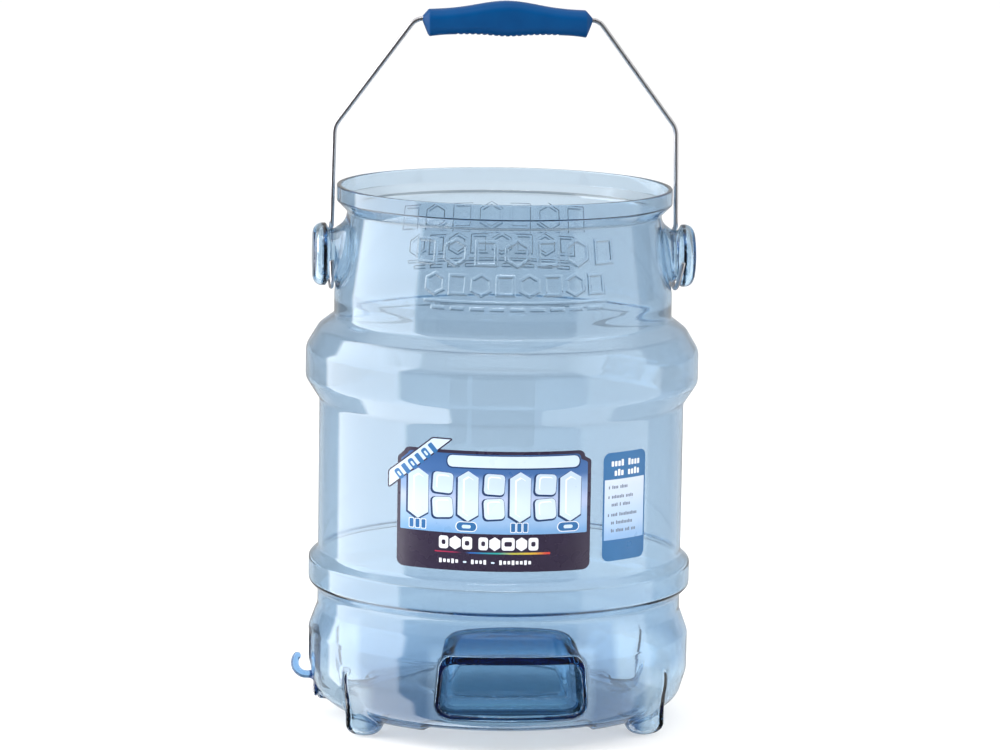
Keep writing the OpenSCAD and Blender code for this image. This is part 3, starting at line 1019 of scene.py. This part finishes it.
def main_label():
    """Dark backing with stepped shoulders, a pale field of ice shapes, a dark foot with
    white blocks over a rainbow line, and a slanted corner ribbon."""
    low_z, high_z = LABEL_Z - 15 * MM, LABEL_Z + 38 * MM
    field = blended_ink("ink_field", "Z", low_z, high_z, [
        (0, (0.17, 0.35, 0.62)), (0.18, (0.28, 0.44, 0.68)), (0.42, (0.42, 0.50, 0.72)),
        (0.6, (0.24, 0.36, 0.60)), (0.78, (0.045, 0.13, 0.34)), (1, (0.035, 0.11, 0.30))])
    ice = blended_ink("ink_ice", "Z", low_z, high_z, [
        (0, (0.50, 0.66, 0.82)), (0.3, (0.60, 0.72, 0.85)), (0.7, (0.50, 0.62, 0.80)),
        (1, (0.55, 0.60, 0.79))])
    rainbow = blended_ink("ink_rainbow", "X", -55 * MM, 22 * MM, [
        (0, (0.50, 0.02, 0.07)), (0.17, (0.32, 0.02, 0.08)), (0.27, (0.03, 0.02, 0.05)),
        (0.34, (0.02, 0.12, 0.42)), (0.55, (0.02, 0.32, 0.30)), (0.72, (0.45, 0.42, 0.06)),
        (0.86, (0.62, 0.40, 0.04)), (1, (0.55, 0.05, 0.04))])
    label = Label(-6.9, [ink("film_back", (0.55, 0.60, 0.66), (0.62, 0.66, 0.72)),
                         ink("ink_dark", (0.026, 0.019, 0.042), (0.036, 0.026, 0.056), 0.28),
                         field, ice, ink("ink_navy", *NAVY), ink("ink_blue", *BLUE),
                         ink("ink_white", *WHITE), rainbow, ink("ink_pale", *PALE)])
    film, dark, field, ice, navy, blue, white, rainbow, pale = range(9)
    backing = [(-64.6, -40.6, 5), (64.6, -40.6, 5), (64.6, 34, 3), (60.4, 36.2, 1),
               (60.4, 40.6, 4), (-60.4, 40.6, 4), (-60.4, 36.2, 1), (-64.6, 34, 3)]
    label.stamp(rounded(backing), film, 0.03, 0.09)
    label.stamp(rounded(backing), dark, 0.09, 0.16)
    label.stamp(rounded([(-62.3, -15.2, 0.6), (62.3, -15.2, 0.6), (62.3, 32.6, 2),
                         (57.8, 34.6, 1), (57.8, 38.4, 3), (-57.8, 38.4, 3),
                         (-57.8, 34.6, 1), (-62.3, 32.6, 2)]), field, 0.16, 0.19)
    # the long bar at the top
    label.stamp(bar(13, 33.2, 89, 9.4, 3.6), navy, 0.19, 0.21)
    label.stamp(bar(13, 33.4, 87.4, 7.8, 3.2), pale, 0.21, 0.23)

    def tile(*shapes):
        """A shadow, a body, a bright edge and a face, one above the other."""
        steps = (navy, 0.19, 0.21), (ice, 0.21, 0.23), (white, 0.23, 0.24), (ice, 0.24, 0.25)
        for shape, step in zip(shapes, steps):
            label.stamp(shape, *step)

    # a row of tall crystals and stacked cubes
    for i, u in enumerate((-50.3, -33.6, -16.6, 0.9, 18.1, 34.9, 51.2)):
        if i % 2 == 0:
            tile(crystal(u - 0.5, 9.3, 15.4, 35.6), crystal(u, 10, 13.8, 34),
                 crystal(u, 10, 7, 27), crystal(u + 0.7, 9.6, 6.2, 26))
            continue
        for v, lean in ((18.4, -3), (1.8, 4)):
            tile(bar(u - 0.5, v - 0.5, 15.2, 15.4, 3, lean), bar(u, v, 13.6, 13.8, 2.6, lean),
                 bar(u, v + 0.6, 9, 9.4, 2, lean), bar(u + 0.6, v, 8.6, 8.8, 1.8, lean))
    # four small marks below it
    for i, u in enumerate((-50.5, -17.5, 17.8, 50)):
        if i % 2:
            label.stamp(bar(u, -10.6, 14.6, 6.8, 3.2), white, 0.21, 0.22)
            label.stamp(bar(u, -10.6, 13.4, 5.8, 2.7), blue, 0.22, 0.23)
            label.stamp(bar(u, -10.6, 6, 2.4, 1.1), pale, 0.23, 0.24)
            continue
        for k in (-4.1, 0, 4.1):
            label.stamp(bar(u + k, -10.6, 3.7, 6.8, 0.8), white, 0.21, 0.22)
            label.stamp(bar(u + k, -10.6, 2.8, 5.9, 0.6), blue, 0.22, 0.23)
    # white blocks on the dark foot
    place = -36.2
    for i, w in enumerate((7.2, 8.4, 7.6, 0, 7.2, 8.2, 9.6, 8.2, 7.4)):
        if w == 0:
            place += 3.4
            continue
        u = place + w / 2
        if i % 2:
            label.stamp(crystal(u, -21.8, w - 0.9, 9.4, 0.5), white, 0.18, 0.2)
        else:
            label.stamp(bar(u, -21.8, w - 0.9, 8.6, 1.6), white, 0.18, 0.2)
            label.stamp(bar(u, -21.8, w - 4.6, 3.2, 1), dark, 0.2, 0.21)
        place += w
    label.stamp(rounded([(-38.5, -28.6, 0.3), (38.5, -28.9, 0.3), (38.5, -27.4, 0.3),
                         (-38.5, -27.9, 0.2)]), rainbow, 0.18, 0.2)
    place = -34.6
    for count in (5, 4, 8):
        for k in range(count):
            label.stamp(bar(place, -34.3, 1.8, 2.3 + 0.8 * (k % 3 == 0), 0.3), white, 0.18, 0.2)
            place += 2.75
        place += 2.6
        if count != 8:
            label.stamp(bar(place, -34.6, 2.4, 1.3, 0.6), pale, 0.18, 0.2)
            place += 5.2
    # the ribbon
    ribbon = [(-71.2, 10.4, 1), (-42, 35.4, 0), (-26.4, 48.4, 0.8), (-41.2, 48.6, 4),
              (-71.2, 23.2, 4)]
    label.stamp(rounded(ribbon), film, 0.03, 0.09)
    label.stamp(rounded(ribbon), dark, 0.25, 0.29)
    label.stamp(rounded(ribbon), dark, 0.09, 0.12)
    label.stamp(rounded(grown(ribbon, -0.9)), pale, 0.29, 0.31)
    for k in range(6):
        u, v, lean = -63.4 + 4.52 * k, 21.6 + 3.92 * k, 40.9
        if k % 2:
            label.stamp(bar(u, v, 3.3, 7.4, 0.7, lean), blue, 0.31, 0.32)
        else:
            label.stamp(bar(u, v, 4.1, 7.4, 1.4, lean), blue, 0.31, 0.32)
            label.stamp(bar(u, v, 1.5, 3.4, 0.5, lean), pale, 0.32, 0.33)
    label.finish("label_main", "main_label")


def instruction_label():
    """Blue card with two rows of white blocks over a pale panel of small grey rows."""
    panel = blended_ink("ink_panel", "Z", LABEL_Z - 22 * MM, LABEL_Z + 19 * MM, [
        (0, (0.27, 0.45, 0.72)), (0.35, (0.45, 0.60, 0.80)), (0.8, (0.58, 0.68, 0.84)),
        (1, (0.62, 0.70, 0.83))])
    label = Label(37.3, [ink("card_back", (0.55, 0.60, 0.66), (0.62, 0.66, 0.72)),
                         ink("ink_card", (0.018, 0.125, 0.31), (0.026, 0.15, 0.36)),
                         panel, ink("ink_card_white", *WHITE),
                         ink("ink_grey", (0.12, 0.15, 0.22), (0.17, 0.20, 0.28))])
    film, card, panel, white, grey = range(5)
    outline = [(-19.2, -36.9, 5), (19.2, -36.9, 5), (19.2, 36.9, 5), (-19.2, 36.9, 5)]
    label.stamp(rounded(outline), film, 0.03, 0.09)
    label.stamp(rounded(outline), card, 0.09, 0.16)
    label.stamp(rounded([(-17.9, -22.5, 0.2), (17.9, -22.5, 0.2), (17.9, 18.6, 0.2),
                         (-17.9, 18.6, 0.2)]), panel, 0.16, 0.19)

    def words(v, start, lengths, size, gap, height, ink_number, low):
        """A row of words made of small blocks."""
        place = start
        for n, length in enumerate(lengths):
            for k in range(length):
                tall = height * (1.25 if (k * 5 + n * 3 + round(v)) % 4 == 0 else 1)
                label.stamp(bar(place + size / 2, v + (tall - height) / 2, size, tall,
                                0.25 * size), ink_number, low, low + 0.02)
                place += size + gap
            place += 1.6 * size

    words(29.2, -12.6, (4, 4), 2.1, 0.75, 3.6, white, 0.17)
    words(22.7, -9.9, (3, 4), 2.1, 0.75, 3.6, white, 0.17)
    for v, start, lengths in ((13.2, -14.6, (1, 4, 5)), (6.6, -14.8, (1, 8, 5)),
                              (1.2, -12, (4, 1, 5)), (-5.6, -15, (1, 4, 12)),
                              (-11, -12.2, (2, 11)), (-16.4, -12.2, (2, 5, 3, 3))):
        words(v, start, lengths, 0.95, 0.42, 1.9, grey, 0.19)
    label.finish("label_card", "instruction_label")


# ---- light ----
# Brightness of the room by heading, in degrees from the front, positive to the right: the
# dim room in front, a soft light on either side, dark gaps and the white backdrop.
ROOM = [(-180, 0.52), (-160, 0.52), (-150, 0.3), (-131, 0.3), (-126, 3.7), (-69, 3.7),
        (-64, 0.12), (44, 0.12), (49, 1.2), (99, 1.4), (104, 0.35), (132, 0.35), (142, 0.52),
        (180, 0.52)]
CEILING = 1.15


def soft_panel(name, radiance, place, width, height, target):
    """A rectangular soft light that faces the target."""
    data = bpy.data.lights.new(name, "AREA")
    data.shape = "RECTANGLE"
    data.size = width
    data.size_y = height
    data.energy = radiance * math.pi * width * height
    data.use_shadow = False
    panel = bpy.data.objects.new(name, data)
    bpy.context.scene.collection.objects.link(panel)
    aim = (Vector(target) - Vector(place)).to_track_quat("-Z", "Y")
    panel.matrix_world = Matrix.Translation(place) @ aim.to_matrix().to_4x4()
    return panel


def room(tree):
    """The room's brightness round the horizon, fading to an even white ceiling."""
    top = max(level for _, level in ROOM)
    where = add_node(tree, "ShaderNodeTexCoord")
    split = add_node(tree, "ShaderNodeSeparateXYZ")
    tree.links.new(where.outputs["Generated"], split.inputs["Vector"])
    back = add_node(tree, "ShaderNodeMath", operation="MULTIPLY")
    back.inputs[1].default_value = -1
    tree.links.new(split.outputs["Y"], back.inputs[0])
    heading = add_node(tree, "ShaderNodeMath", operation="ARCTAN2")
    tree.links.new(split.outputs["X"], heading.inputs[0])
    tree.links.new(back.outputs[0], heading.inputs[1])
    turn = map_range(tree, heading.outputs[0], (-math.pi, math.pi))
    ring = ramp(tree, turn, [((h + 180) / 360, (level / top,) * 3) for h, level in ROOM])
    rise = map_range(tree, split.outputs["Z"], (0.6, 0.8))
    return mix_colours(tree, rise, ring, (CEILING / top,) * 3), top


def light_the_scene():
    """A plain pale floor in the room, with a soft light and a bright strip high in front."""
    scene = bpy.context.scene
    scene.view_settings.view_transform = "Standard"
    scene.cycles.max_bounces = 24
    scene.cycles.transmission_bounces = 24
    scene.cycles.glossy_bounces = 16
    world = bpy.data.worlds.new("studio")
    scene.world = world
    world.use_nodes = True
    tree = world.node_tree
    colour, top = room(tree)
    lit = tree.nodes["Background"]
    lit.inputs["Strength"].default_value = top
    tree.links.new(colour, lit.inputs["Color"])
    plain = add_node(tree, "ShaderNodeBackground", Color=(1, 1, 1, 1))
    seen = add_node(tree, "ShaderNodeLightPath")
    either = add_node(tree, "ShaderNodeMixShader")
    for i, socket in enumerate((seen.outputs["Is Camera Ray"], lit.outputs[0], plain.outputs[0])):
        tree.links.new(socket, either.inputs[i])
    tree.links.new(either.outputs[0], tree.nodes["World Output"].inputs["Surface"])
    floor_material, tree, shader = new_material("paper")
    tree.links.new(mix_colours(tree, noise(tree, 40, 3.0), (0.93,) * 3, (0.95,) * 3),
                   shader.inputs["Base Color"])
    shader.inputs["Roughness"].default_value = 0.95
    shader.inputs["Specular IOR Level"].default_value = 0
    side = 40
    floor = make_object("floor", [(-side, -side, 0), (side, -side, 0), (side, side, 0),
                                  (-side, side, 0)], [(0, 1, 2, 3)], [floor_material])
    floor.visible_glossy = False
    key = soft_panel("key_light", 16, (-0.5, -2.1, 2.5), 1.6, 0.8, (0, 0, 0.25))
    key.visible_glossy = False
    key.visible_transmission = False
    soft_panel("top_strip", 9, (-0.15, -0.75, 2.4), 0.9, 0.12, (0, 0, 0.3))


# ---- build ----
light_the_scene()
tote_shell(clear_blue())
STEEL = steel()
bail_wire(STEEL)
bail_grip(grip_plastic())
hang_hook(hook_plastic())
hook_rivets(STEEL)
main_label()
instruction_label()
